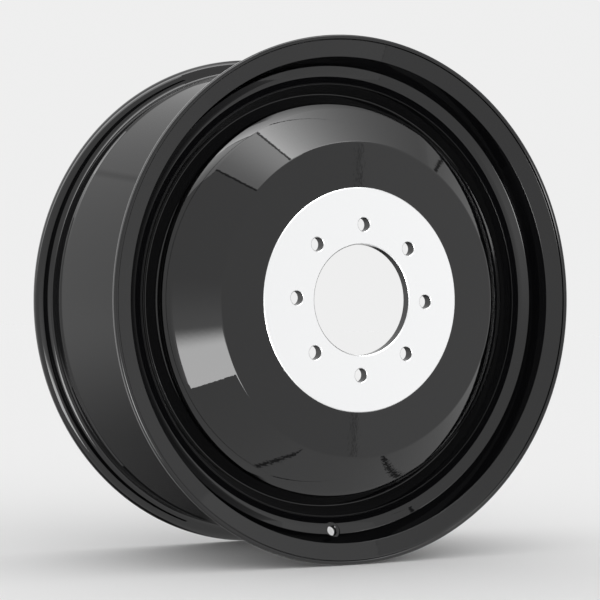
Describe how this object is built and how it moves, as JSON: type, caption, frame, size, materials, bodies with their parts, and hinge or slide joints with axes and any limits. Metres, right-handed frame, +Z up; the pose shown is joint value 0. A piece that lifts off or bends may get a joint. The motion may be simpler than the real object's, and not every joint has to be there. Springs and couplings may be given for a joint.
{
  "type": "dual-axle truck wheel",
  "caption": "One-piece dually truck wheel with a domed hub plate, deep barrel, stud holes round a centre bore and a valve hole, in gloss black with a bare mounting pad.",
  "frame": {"origin": "on the spin axis, in the plane of the face that bolts against the hub", "axes": "+Y along the spin axis towards the vehicle, so the outer face looks along -Y; +Z up; the stud holes start on +X"},
  "size_m": [0.5986, 0.2445, 0.5984],
  "materials": {
    "painted_aluminium": "gloss black paint over aluminium, with the outer mounting pad turned bare"
  },
  "bodies": {
    "root": {"wheel": "painted_aluminium"}
  },
  "joints": []
}
